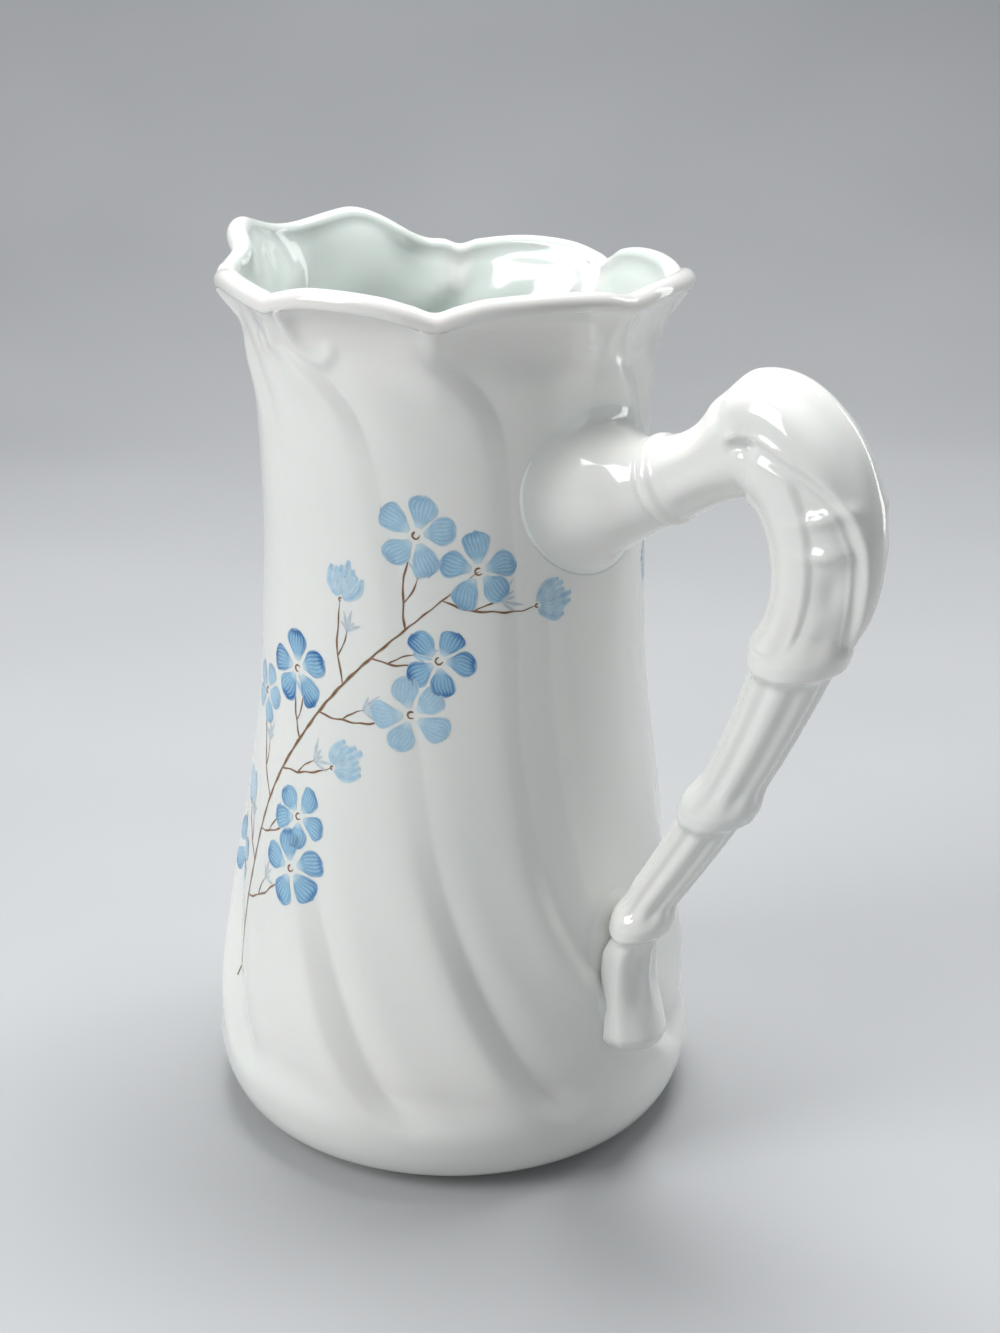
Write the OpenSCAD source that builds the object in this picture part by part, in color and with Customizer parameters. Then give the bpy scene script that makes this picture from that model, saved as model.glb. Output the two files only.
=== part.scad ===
// Porcelain cream jug: a slip-cast, swirl-fluted body with a scalloped rim and
// a pouring spout, a separately cast bamboo-style scroll handle stuck on with
// slip, and an unglazed foot ring.  Millimetres.  The origin is on the jug's
// axis in the plane it stands on; the handle points to +X, the spout to -X.

/* [Body] */
// Height of the rim between its dips
rim_h = 125.4; // [104:0.2:150]
// Radius at the rim
rim_r = 32.8; // [29:0.2:38]
// How far the waist lies below the rim
waist_drop = 37.4; // [30:0.2:48]
// Radius at the waist
waist_r = 27.3; // [22.6:0.1:32]
// Height of the heel, the widest part of the base
heel_h = 12; // [9:0.5:14]
// Radius at the heel
heel_r = 36.6; // [31:0.1:44]
// How far the underside's edge stands in from the heel
heel_round = 4.2; // [2:0.1:5]
// Thickness of the cast wall
wall_t = 2.5; // [2:0.1:3.2]
// Thickness of the floor
floor_t = 3; // [2:0.1:4.5]

/* [Flutes and rim] */
// Depth of the swirling flutes just above the heel
flute_depth = 2.1; // [0:0.1:2.6]
// Depth of the flutes in the plain middle of the body
flute_depth_mid = 0.3; // [0:0.05:0.8]
// Depth of the flutes under the rim
flute_depth_top = 1.5; // [0:0.1:2]
// How far the spout stands out past the rim's radius
spout_out = 4.2; // [2:0.1:7]
// How far the spout's two humps rise above the rim
spout_rise = 5.3; // [2:0.1:7]
// How far the pouring channel sinks between the humps
spout_channel = 2.6; // [1:0.1:4]
// Depth of the rim's dips between its scallops
rim_dip = 1.8; // [0:0.1:2.5]

/* [Handle] */
// Radius of the upper boss where it meets the body
boss_r = 10.2; // [8:0.1:12.4]
// How far the middle of the upper boss lies below the rim
boss_drop = 26.4; // [22:0.2:34]
// How far the collars stand out from the handle
collar_out = 0.95; // [0.4:0.05:1.4]
// Depth of the hollows between the handle's lengthwise ribs
rib_depth = 0.35; // [0:0.05:0.6]
// Height of the lower end's tip
tip_h = 18.5; // [16:0.5:24]
// Thickness of the slip that sticks the handle to the body
slip_t = 0.4; // [0.3:0.05:0.8]

/* [Foot] */
// Height of the foot ring
foot_h = 1.8; // [1.2:0.1:3]
// How far the foot ring stands in from the underside's edge
foot_inset = 1.5; // [0.5:0.1:4]
// Width of the foot ring
foot_w = 3; // [2:0.1:4]

/* [Hidden] */

waist_h = rim_h - waist_drop;
boss_h = rim_h - boss_drop;
foot_r = heel_r - heel_round - foot_inset;

// ---- general functions ----

function smooth(t) =
    let (u = min(max(t, 0), 1))
    u * u * (3 - 2 * u);

function bump(x, width) = exp(-x * x / (width * width));

// Slope of a curve at its point k, for one column of values
function slope(pts, k, col) =
    let (a = max(k - 1, 0), b = min(k + 1, len(pts) - 1))
    (pts[b][col] - pts[a][col]) / (pts[b][0] - pts[a][0]);

// Smooth curve through points [x, value, ...], read at x
function curve(pts, x, col = 1) =
    let (
        last = len(pts) - 1,
        xx = min(max(x, pts[0][0]), pts[last][0]),
        k = max([for (i = [0:last - 1]) if (xx >= pts[i][0]) i]),
        span = pts[k + 1][0] - pts[k][0],
        t = (xx - pts[k][0]) / span,
        rise = 3 * t * t - 2 * t * t * t
    )
    pts[k][col] * (1 - rise) + pts[k + 1][col] * rise
    + slope(pts, k, col) * span * t * (1 - t) * (1 - t)
    - slope(pts, k + 1, col) * span * t * t * (1 - t);

// Faces of a closed skin made of rings of points, fanned shut at both ends
function ring_faces(rings, sides) = concat(
    [for (i = [0:rings - 2], j = [0:sides - 1])
        [i * sides + j, (i + 1) * sides + j, i * sides + (j + 1) % sides]],
    [for (i = [0:rings - 2], j = [0:sides - 1])
        [i * sides + (j + 1) % sides, (i + 1) * sides + j, (i + 1) * sides + (j + 1) % sides]],
    [for (j = [0:sides - 1]) [rings * sides, j, (j + 1) % sides]],
    [for (j = [0:sides - 1])
        [rings * sides + 1, (rings - 1) * sides + (j + 1) % sides, (rings - 1) * sides + j]]
);

function middle(ring) = [for (k = [0:2]) let (s = [for (p = ring) p[k]]) sum(s) / len(s)];

function sum(list, i = 0) = i < len(list) ? list[i] + sum(list, i + 1) : 0;

module skin(rings) {
    sides = len(rings[0]);
    points = [for (ring = rings) for (p = ring) p];
    ends = [middle(rings[0]), middle(rings[len(rings) - 1])];
    polyhedron(concat(points, ends), ring_faces(len(rings), sides));
}

// ---- body outline ----

// Share of the way from the waist's radius to the heel's, by share of the way down
belly_shape = [[0, 0], [0.28, 0.13], [0.5, 0.4], [0.73, 0.71], [0.91, 0.96], [1, 1]];
// Share of the way from the waist's radius to the rim's, by share of the way up
flare_shape = [[0, 0], [0.27, 0.02], [0.54, 0.11], [0.75, 0.37], [0.89, 0.74], [1, 1]];

// How much of a quarter round the heel turns through before it meets the underside
heel_turn = 0.98;

function heel_drop(z) = (heel_h - max(z, foot_h)) / (heel_h - foot_h);

function outline_r(z) =
    z < heel_h
    ? heel_r - heel_round * (1 - sqrt(1 - heel_turn * pow(heel_drop(z), 2)))
    : z < waist_h
    ? waist_r + (heel_r - waist_r) * curve(belly_shape, (waist_h - z) / (waist_h - heel_h))
    : waist_r + (rim_r - waist_r) * curve(flare_shape, (z - waist_h) / (rim_h - waist_h));

// ---- flutes ----

// Angles of the rim's dips, from the handle round to the spout and back
dips = [-180, -133, -96, -50, 0, 50, 91, 133, 180];
// How far a flute has turned from its dip, by share of the rim's height
swirl = [[0, 86], [0.07, 80], [0.14, 69], [0.24, 58], [0.38, 47], [0.52, 41],
    [0.66, 37], [0.78, 31], [0.87, 24], [0.92, 12], [0.95, 3], [1, 0]];
// How far the flutes beside the handle lag behind the others
lag = [[0, 0], [0.14, 5], [0.24, 15], [0.32, 19], [0.52, 18], [0.66, 15],
    [0.78, 11], [0.87, 7], [0.95, 1], [1, 0]];
// Which dips' flutes lag, from none to all of it
lag_share = [0, 0, 0, 1, 0.7, 0.2, 0, 0, 0];
// Cross-section of one flute, from valley to valley: -1 is its floor, 0 its ridge
flute_shape = [[0, -1], [0.08, -0.78], [0.2, -0.66], [0.4, -0.62], [0.56, -0.46],
    [0.7, -0.16], [0.8, -0.01], [0.87, -0.04], [0.94, -0.5], [1, -1]];

function valley(k, share) =
    dips[k] + curve(swirl, share) - lag_share[k] * curve(lag, share);

// Place of an angle between two valleys, 0 to 1
function flute_place(a, share) =
    let (
        first = valley(0, share),
        turned = first + (((a - first) % 360) + 360) % 360,
        k = max([for (i = [0:7]) if (turned >= valley(i, share)) i]),
        low = valley(k, share),
        high = k == 7 ? first + 360 : valley(k + 1, share)
    )
    min((turned - low) / (high - low), 1);

// The flutes start a little under the heel's height and fade above it; the upper
// ones begin below the rim and get shallower in its last few millimetres
flute_foot = 3;
flute_grow = 8;
flute_fade_from = 4;
flute_fade = 52;
flute_top_from = 27;
flute_top_grow = 20;
flute_lip = 6;

function flute_depth_at(z) =
    let (
        start = smooth((z - heel_h + flute_foot) / flute_grow),
        low = flute_depth * start * (1 - smooth((z - heel_h - flute_fade_from) / flute_fade)),
        lip = 1 - 0.4 * smooth((z - rim_h + flute_lip) / flute_lip),
        top = flute_depth_top * smooth((z - rim_h + flute_top_from) / flute_top_grow) * lip
    )
    max(low, flute_depth_mid * start, top);

function flute(a, z) =
    flute_depth_at(z) * curve(flute_shape, flute_place(a, z / rim_h));

// ---- rim ----

// Height of the rim against its scallops' height, in dips, by angle from the handle
scallops = [[-180, 0], [-140, 0], [-134, -0.5], [-128, 0], [-116, 0.35], [-104, 0.1], [-98, -0.35],
    [-94, -0.6], [-90, -0.15], [-82, 0.3], [-72, 0.35], [-62, 0.1], [-55, -0.4], [-50, -0.85],
    [-45, -0.4], [-38, 0.1], [-24, 0.35], [-10, 0.2], [0, -0.2], [10, 0.2], [24, 0.35],
    [40, 0.1], [47, -0.45], [50, -1], [53, -0.45], [60, 0.1], [72, 0.35], [82, 0],
    [86, -0.7], [88, -1], [91, -0.6], [100, 0.1], [114, 0.35], [128, -0.1], [133, -0.5],
    [138, -0.1], [180, 0]];
// Angles from the spout's middle to its humps, over which it rises, and of its channel
hump_from_spout = 20;
hump_width = 9;
channel_width = 15;
spout_width = 40;
// Angle over which the spout's sides climb to its humps
spout_climb = 24;
// How far the rim flares at the humps, in its last few millimetres
hump_flare = 0.5;
hump_flare_h = 5;
// How far above the waist the spout starts to swell
spout_start = 4;

// An angle brought between -180 and 180
function wrapped(a) = ((a + 180) % 360 + 360) % 360 - 180;

function from_spout(a) = 180 - abs(wrapped(a));

function rim_lift(a) =
    let (off = from_spout(a))
    rim_dip * curve(scallops, wrapped(a))
    + spout_rise * smooth((spout_width - off) / spout_climb)
    - spout_channel * bump(off, channel_width);

function rim_bulge(a, z) =
    let (off = from_spout(a), start = waist_h + spout_start)
    spout_out * pow(smooth((spout_width - off) / spout_width), 1.3)
    * pow(smooth((z - start) / (rim_h - start)), 1.3)
    + hump_flare * bump(off - hump_from_spout, hump_width)
    * pow(smooth((z - rim_h + hump_flare_h) / hump_flare_h), 1.5);

// The rim's rise and fall reaches this far down the body
lift_depth = 21.4;

// Radius and height of the outer face at an angle and a height on the plain outline
function outer_r(a, z) =
    outline_r(z) + flute(a, z) + rim_bulge(a, z);

function lifted(a, z) =
    z + rim_lift(a) * smooth((z - rim_h + lift_depth) / lift_depth);

function outer_point(a, z, out = 0) =
    let (r = outer_r(a, z) + out)
    [r * cos(a), r * sin(a), lifted(a, z)];

// ---- body ----

columns = 96;
lip_r = 1.3;
lip_steps = 5;
outer_levels = [0.8, 2.6, 5, 7.8, 10.6, 13.6, 17, 21, 26, 32, 39, 47, 56, 65, 74,
    82, 90, 96, 101, 105.5, 109, 112, 114.6, 117, 119.2, 121.2, 122.9];
inner_levels = [122.9, 121, 118.6, 115.6, 112, 107, 101, 94, 86, 76, 66, 56, 46, 37,
    29, 22, 16, 11.5];
// Height over the underside at which the wall rounds into the floor
round_h = 8;
floor_shares = [0.97, 0.88, 0.6, 0.25];
// The wall is thinner in the lower flutes' hollows by this share of their depth,
// which fades out below a height
inner_flute = 0.3;
inner_flute_h = 60;
inner_flute_fade = 40;
// Levels are stated for this rim height and follow it
levels_for = 125.4;

function column_angle(j) = j * 360 / columns;

function inner_r(a, z) =
    outer_r(a, z) - wall_t
    - inner_flute * flute(a, z) * smooth((inner_flute_h - z) / inner_flute_fade);

function level_z(level) = foot_h + level * (rim_h - foot_h) / levels_for;

function inner_point(a, z) =
    let (r = inner_r(a, z))
    [r * cos(a), r * sin(a), lifted(a, z)];

function body_rings() = concat(
    [for (share = [0.3, 0.8]) [for (j = [0:columns - 1])
        let (a = column_angle(j), r = outer_r(a, foot_h) * share) [r * cos(a), r * sin(a), foot_h]]],
    [[for (j = [0:columns - 1]) outer_point(column_angle(j), foot_h)]],
    [for (level = outer_levels) [for (j = [0:columns - 1])
        outer_point(column_angle(j), level_z(level))]],
    [for (k = [0:lip_steps]) [for (j = [0:columns - 1])
        let (
            a = column_angle(j),
            turn = k * 180 / lip_steps,
            r = outer_r(a, rim_h) - wall_t / 2 + lip_r * cos(turn)
        )
        [r * cos(a), r * sin(a), lifted(a, rim_h) - lip_r * (1 - sin(turn))]]],
    [for (level = inner_levels) [for (j = [0:columns - 1])
        inner_point(column_angle(j), level_z(level))]],
    [[for (j = [0:columns - 1]) inner_point(column_angle(j), foot_h + round_h)]],
    [for (share = floor_shares) [for (j = [0:columns - 1])
        let (a = column_angle(j), r = inner_r(a, foot_h + round_h) * share)
        [r * cos(a), r * sin(a), foot_h + floor_t + (round_h - floor_t) * pow(share, 9)]]]
);

module body() {
    color("whitesmoke") skin(body_rings());
}

// ---- handle ----

// Points pressed back onto the body's face, a slip's thickness off it
function seated(p, off) =
    let (
        a = atan2(p.y, p.x),
        least = outer_r(a, min(p.z, rim_h)) + off,
        r = norm([p.x, p.y])
    )
    r < least ? [least * cos(a), least * sin(a), p.z] : p;

// The handle's middle line runs by place from 0 in the boss to 24 near the tip: an arm
// climbs out of the boss, an elliptical crook turns it down, a slightly bowed cane
// leads in again, and a lobe settles down the body's face
arm_to = 6;
crook_to = 11.25;
cane_to = 19;
last_place = 24;
// Arm: its start out from the face and over the boss's middle, and how long before the
// crook it begins to turn up
arm_out = 2.5;
arm_over = 0.9;
arm_turn = 12;
// Crook: its middle out from the face and below the boss's middle, its half width and
// half height, and the angles that it runs between
crook_out = 25.8;
crook_down = 3.5;
crook_w = 9.2;
crook_h = 14;
crook_from = 114;
crook_end = -29;
// Cane: how far it bows out, and the height of its lower end as a share of the
// height from the tip to the boss
cane_bow = 1.8;
cane_share = 0.34;
// Lobe: its middle line out from the face at its end and at its start, how quickly it
// closes in, and where it ends over the tip
lobe_out = 0.6;
lobe_lead = 8;
lobe_close = 2.5;
lobe_over = 3.3;
// Half depth and half width along the line: [place, half depth, half width]
handle_size = [[0, 8.8, 8.8], [1.5, 6, 6], [5, 5.5, 5.4], [7, 8.3, 6], [8, 8.3, 6.2],
    [10, 7.2, 5.7], [12, 5.6, 5.2], [15, 4.3, 4.3], [19, 3.5, 3.6], [22, 3.2, 4.1],
    [24, 3.1, 4.8]];
// Places of the four collars along the line
collars = [2, 12.1, 16.5, 20.5];
collar_width = 0.32;
handle_sides = 32;
steps_per_place = 2.5;
// Lengthwise ribs and the places between which they run
ribs = 8;
ribs_from = 2;
ribs_to = 21;
// Below this place the collars and sections lie nearly level, not square to the line
level_from = 10.5;
level_over = 1.2;
level_share = 0.8;

// Height at a share of the way from the tip to the boss's middle
function share_z(share) = tip_h + share * (boss_h - tip_h);

function crook_xz(turn) = [
    outline_r(boss_h) + crook_out + crook_w * cos(turn),
    boss_h - crook_down + crook_h * sin(turn)
];

function arm_xz(u) =
    let (
        start = [outline_r(boss_h) + arm_out, boss_h + arm_over],
        end = crook_xz(crook_from),
        lead = [crook_w * sin(crook_from), -crook_h * cos(crook_from)],
        bend = end - lead / norm(lead) * arm_turn
    )
    start * pow(1 - u, 2) + bend * 2 * u * (1 - u) + end * u * u;

function lobe_xz(u) =
    let (z = share_z(cane_share) * (1 - u) + (tip_h + lobe_over) * u)
    [outline_r(z) + lobe_out + lobe_lead * pow(max(1 - u, 0), lobe_close), z];

function cane_xz(u) =
    crook_xz(crook_end) * (1 - u) + lobe_xz(0) * u + [cane_bow * sin(u * 180), 0];

function handle_xz(t) =
    t < arm_to ? arm_xz(t / arm_to)
    : t < crook_to
    ? crook_xz(crook_from + (crook_end - crook_from) * (t - arm_to) / (crook_to - arm_to))
    : t < cane_to ? cane_xz((t - crook_to) / (cane_to - crook_to))
    : lobe_xz((t - cane_to) / (last_place - cane_to));

function handle_ring(t) =
    let (
        here = handle_xz(t),
        ahead = handle_xz(t + 0.05) - handle_xz(t - 0.05),
        square = ahead / norm(ahead),
        levelled = [square.x * (1 - level_share * smooth((t - level_from) / level_over)), square.y],
        along = levelled / norm(levelled),
        slant = 1 / (square * along),
        across = [-along.y, along.x],
        collar = collar_out * sum([for (c = collars) bump(t - c, collar_width)]),
        ribbed = rib_depth * smooth(t - ribs_from) * smooth(ribs_to - t)
    )
    [for (j = [0:handle_sides - 1])
        let (
            turn = -j * 360 / handle_sides,
            grow = collar - ribbed * (1 - cos(ribs * turn)) / 2,
            depth = (curve(handle_size, t, 1) * slant + grow) * cos(turn),
            width = (curve(handle_size, t, 2) + grow) * sin(turn),
            p = here + across * depth
        )
        seated([p.x, width, p.y], slip_t)];

// Point off the body's face, at a distance round it from the handle's middle
function face_point(side, z, off) =
    let (a = side / outline_r(z) * 180 / PI, r = outer_r(a, z) + off)
    [r * cos(a), r * sin(a), z];

// Rings on the body's face under the upper boss
function boss_ring(share) = [for (j = [0:handle_sides - 1])
    let (turn = -j * 360 / handle_sides, r = boss_r * share)
    face_point(r * sin(turn), boss_h + r * cos(turn), slip_t)];

// Rounded tip of the lower end
function tip_ring(share) =
    let (
        end = handle_xz(last_place),
        low = sin(share * 90),
        round = max(cos(share * 90), 0.02),
        depth = curve(handle_size, last_place, 1) * round,
        width = curve(handle_size, last_place, 2) * round
    )
    [for (j = [0:handle_sides - 1])
        let (turn = -j * 360 / handle_sides)
        seated([
            end.x - depth * cos(turn),
            width * sin(turn),
            end.y - (end.y - tip_h) * low
        ], slip_t)];

function handle_rings() = concat(
    [for (share = [0.03, 0.35, 0.7, 1]) boss_ring(share)],
    [for (i = [0:last_place * steps_per_place]) handle_ring(i / steps_per_place)],
    [for (share = [0.35, 0.65, 0.88, 1]) tip_ring(share)]
);

module handle() {
    color("white") skin(handle_rings());
}

// ---- slip joints ----

slip_sides = 40;
// How far the slip shows past the handle's ends
slip_edge = 0.6;
// How far up the handle's lower end lies on the body, as a share of the height from
// the tip to the boss, and how wide
lobe_share = 0.28;
lobe_w = 10;
// The slip starts just inside the face, and its edge is feathered to this share
slip_bed = 0.02;
slip_feather = 0.3;

// Pad of slip on the body's face: rings under it, then rings over it
module slip_pad(mid_h, half_w, half_h) {
    shares = [0.05, 0.3, 0.55, 0.8, 1];
    under = [for (share = shares) slip_ring(mid_h, half_w * share, half_h * share, slip_bed)];
    over = [for (k = [0:len(shares) - 1])
        let (share = shares[len(shares) - 1 - k])
        slip_ring(mid_h, half_w * share, half_h * share, slip_t * (share < 1 ? 1 : slip_feather))];
    skin(concat(under, over));
}

function slip_ring(mid_h, w, h, off) = [for (j = [0:slip_sides - 1])
    let (turn = -j * 360 / slip_sides)
    face_point(w * sin(turn), mid_h + h * cos(turn), off)];

module upper_slip() {
    color("gainsboro") slip_pad(boss_h, boss_r + slip_edge, boss_r + slip_edge);
}

module lower_slip() {
    half_h = (share_z(lobe_share) - tip_h) / 2;
    color("gainsboro") slip_pad(tip_h + half_h, lobe_w / 2, half_h + slip_edge);
}

// ---- foot ring ----

// Chamfer round the outside of the ground face, and how the ring widens upwards
foot_edge = 0.5;
foot_draft_out = 0.3;
foot_draft_in = 0.6;

module foot_ring() {
    inner = foot_r - foot_w;
    color("linen") rotate_extrude($fn = 128)
        polygon([
            [inner, 0], [foot_r - foot_edge, 0], [foot_r, foot_edge],
            [foot_r + foot_draft_out, foot_h], [inner - foot_draft_in, foot_h]
        ]);
}

body();
handle();
upper_slip();
lower_slip();
foot_ring();
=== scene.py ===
import math

import bpy
import numpy as np
from mathutils import Matrix, Vector


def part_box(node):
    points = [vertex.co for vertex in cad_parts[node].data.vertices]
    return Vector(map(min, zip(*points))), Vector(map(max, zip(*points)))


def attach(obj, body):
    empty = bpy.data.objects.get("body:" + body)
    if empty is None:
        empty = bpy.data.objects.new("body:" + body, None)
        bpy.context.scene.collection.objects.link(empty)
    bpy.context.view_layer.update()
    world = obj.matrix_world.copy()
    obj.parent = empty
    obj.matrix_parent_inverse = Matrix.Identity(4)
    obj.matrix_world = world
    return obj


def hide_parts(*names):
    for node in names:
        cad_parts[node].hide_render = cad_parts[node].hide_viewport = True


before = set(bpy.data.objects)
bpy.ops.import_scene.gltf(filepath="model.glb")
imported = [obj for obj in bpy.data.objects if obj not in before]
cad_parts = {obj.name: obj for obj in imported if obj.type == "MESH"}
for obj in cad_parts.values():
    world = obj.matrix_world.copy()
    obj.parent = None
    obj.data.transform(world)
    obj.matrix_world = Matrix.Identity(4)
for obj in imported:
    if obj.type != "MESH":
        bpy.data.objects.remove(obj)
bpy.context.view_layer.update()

# Porcelain cream jug.  Lengths are worked out in millimetres and angles in degrees
# from the handle, counter-clockwise from above; meshes are written in metres.
MM = 0.001

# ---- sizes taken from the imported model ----

BODY_LOW, BODY_HIGH = [np.array(corner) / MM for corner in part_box("body")]
BOSS_LOW, BOSS_HIGH = [np.array(corner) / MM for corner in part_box("upper_slip")]

FOOT_H = BODY_LOW[2]
SPOUT_RISE = 5.3
SPOUT_CHANNEL = 2.6
RIM_H = BODY_HIGH[2] - SPOUT_RISE + 0.75
RIM_R = 32.8
WAIST_H = 88.0
WAIST_R = 27.3
HEEL_H = 12.0
HEEL_R = BODY_HIGH[1] + 0.1
HEEL_ROUND = 4.2
WALL = 2.4
FLOOR_TOP = FOOT_H + 3.0
SPOUT_OUT = 4.2
RIM_DIP = 1.8
BOSS_H = (BOSS_LOW[2] + BOSS_HIGH[2]) / 2
TIP_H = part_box("handle")[0][2] / MM
FOOT_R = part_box("foot_ring")[1][1] / MM

# ---- general functions ----


def smooth(t):
    u = np.clip(t, 0.0, 1.0)
    return u * u * (3.0 - 2.0 * u)


def bump(x, width):
    return np.exp(-((x / width) ** 2))


def curve(points, x, column=1):
    """Smooth curve through points (x, value, ...), read at x; the jug's source uses the same."""
    table = np.array(points, float)
    xs, ys = table[:, 0], table[:, column]
    count = len(xs)
    before = np.maximum(np.arange(count) - 1, 0)
    after = np.minimum(np.arange(count) + 1, count - 1)
    slopes = (ys[after] - ys[before]) / (xs[after] - xs[before])
    x = np.clip(np.asarray(x, float), xs[0], xs[-1])
    k = np.clip(np.searchsorted(xs, x, side="right") - 1, 0, count - 2)
    span = xs[k + 1] - xs[k]
    t = (x - xs[k]) / span
    rise = 3 * t**2 - 2 * t**3
    level = ys[k] * (1 - rise) + ys[k + 1] * rise
    return level + slopes[k] * span * t * (1 - t) ** 2 - slopes[k + 1] * span * t**2 * (1 - t)


def wrapped(a):
    return (np.asarray(a, float) + 180.0) % 360.0 - 180.0


def from_spout(a):
    return 180.0 - np.abs(wrapped(a))


# ---- body outline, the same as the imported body's ----

BELLY = [(0, 0), (0.28, 0.13), (0.5, 0.4), (0.73, 0.71), (0.91, 0.96), (1, 1)]
FLARE = [(0, 0), (0.27, 0.02), (0.54, 0.11), (0.75, 0.37), (0.89, 0.74), (1, 1)]


def outline_r(z):
    z = np.asarray(z, float)
    down = np.clip((HEEL_H - z) / (HEEL_H - FOOT_H), 0, 1)
    heel = HEEL_R - HEEL_ROUND * (1 - np.sqrt(1 - 0.98 * down**2))
    belly = WAIST_R + (HEEL_R - WAIST_R) * curve(BELLY, (WAIST_H - z) / (WAIST_H - HEEL_H))
    flare = WAIST_R + (RIM_R - WAIST_R) * curve(FLARE, (z - WAIST_H) / (RIM_H - WAIST_H))
    return np.where(z < HEEL_H, heel, np.where(z < WAIST_H, belly, flare))


# ---- flutes ----

DIPS = np.array([-180, -133, -96, -50, 0, 50, 91, 133], float)
SWIRL = [(0, 86), (0.07, 80), (0.14, 69), (0.24, 58), (0.38, 47), (0.52, 41), (0.66, 37),
         (0.78, 31), (0.87, 24), (0.92, 12), (0.95, 3), (1, 0)]
LAG = [(0, 0), (0.14, 5), (0.24, 15), (0.32, 19), (0.52, 18), (0.66, 15), (0.78, 11),
       (0.87, 7), (0.95, 1), (1, 0)]
LAG_SHARE = np.array([0, 0, 0, 1, 0.7, 0.2, 0, 0])
# One flute from valley to valley: a narrow groove, a broad shallow dish, a soft ridge
FLUTE = [(0, -1), (0.06, -0.9), (0.14, -0.74), (0.25, -0.62), (0.4, -0.6), (0.54, -0.46),
         (0.67, -0.19), (0.77, -0.02), (0.84, -0.08), (0.92, -0.52), (1, -1)]
FLUTE_DEPTH, FLUTE_DEPTH_MID, FLUTE_DEPTH_TOP = 2.0, 0.26, 1.2


def flute_place(a, z):
    """Share of the way from the valley on one side of an angle to the next, and which flute."""
    share = z / RIM_H
    turn, lag = curve(SWIRL, share), curve(LAG, share)
    valleys = [d + turn - k * lag for d, k in zip(DIPS, LAG_SHARE)]
    valleys.append(valleys[0] + 360.0)
    turned = valleys[0] + (a - valleys[0]) % 360.0
    place, which = np.zeros_like(turned), np.zeros(turned.shape, int)
    for k in range(8):
        inside = (turned >= valleys[k]) & (turned < valleys[k + 1])
        share_here = (turned - valleys[k]) / (valleys[k + 1] - valleys[k])
        place = np.where(inside, share_here, place)
        which = np.where(inside, k, which)
    return place, which


def flute_depth(z):
    low = FLUTE_DEPTH * smooth((z - HEEL_H + 3) / 7) * (1 - smooth((z - 16) / 52))
    top = FLUTE_DEPTH_TOP * smooth((z - RIM_H + 27) / 20) * (1 - 0.7 * smooth((z - RIM_H + 8) / 8))
    middle = FLUTE_DEPTH_MID * smooth((z - HEEL_H + 3) / 8)
    return np.maximum(np.maximum(low, middle), top)


def flute(a, z):
    place, _ = flute_place(a, z)
    return flute_depth(z) * curve(FLUTE, place)


# ---- rim ----

SCALLOPS = [(-180, 0), (-140, 0), (-134, -0.5), (-128, 0), (-116, 0.35), (-104, 0.1),
            (-98, -0.25), (-94, -0.42), (-90, -0.15), (-82, 0.3), (-72, 0.35), (-62, 0.1),
            (-55, -0.4), (-50, -0.85), (-45, -0.4), (-38, 0.1), (-24, 0.35), (-10, 0.2),
            (0, -0.2), (10, 0.2), (24, 0.35), (40, 0.1), (47, -0.45), (50, -1), (53, -0.45),
            (60, 0.1), (72, 0.35), (82, 0), (86, -0.7), (88, -1), (91, -0.6), (100, 0.1),
            (114, 0.35), (128, -0.1), (133, -0.5), (138, -0.1), (180, 0)]
HUMP_FROM_SPOUT, HUMP_WIDTH = 20.0, 9.0
LIFT_FROM = 104.0


def hump(a):
    return bump(from_spout(a) - HUMP_FROM_SPOUT, HUMP_WIDTH)


def rim_lift(a):
    off = from_spout(a)
    rise = SPOUT_RISE * smooth((40.0 - off) / 24.0) - SPOUT_CHANNEL * bump(off, 15.0)
    return RIM_DIP * curve(SCALLOPS, wrapped(a)) + rise


def rim_bulge(a, z):
    off = from_spout(a)
    spout = SPOUT_OUT * smooth((40.0 - off) / 40.0) ** 1.3
    spout = spout * smooth((z - WAIST_H - 4) / (RIM_H - WAIST_H - 4)) ** 1.3
    near_lip = smooth((z - RIM_H + 6) / 6) ** 1.5
    return spout + (0.5 * hump(a) - 1.2 * bump(off - 30, 5.5)) * near_lip


# Dips where a C-shaped scroll is moulded, with its strength, and the plain dips
SCROLL_JOINTS = [(-94.0, 0.9), (0.0, 0.4), (88.0, 0.7)]
V_DIPS = [-50.0, 50.0, 133.0, -133.0]
# The scroll's height and width, then its line: millimetres round the jug and down
# from the rim
SCROLL_HIGH, SCROLL_WIDTH = 1.05, 1.15
SCROLL_LINE = [(3.6, 1.6), (2.2, 3.4), (2.0, 5.4), (2.8, 7.4), (4.6, 8.8), (6.8, 9.2), (8.2, 8.2)]


def line_ridge(side, down, line, width):
    """Height of a rounded ridge along a line, from 0 to 1, thinning towards its end."""
    steps = np.linspace(0, len(line) - 1, 36)
    table = [(i, *point) for i, point in enumerate(line)]
    xs, ys = curve(table, steps, 1), curve(table, steps, 2)
    best = np.zeros_like(side)
    for i, (x, y) in enumerate(zip(xs, ys)):
        fade = 1.0 - 0.65 * (i / len(xs)) ** 2
        best = np.maximum(best, fade * bump(np.hypot(side - x, down - y), width))
    return best


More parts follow.
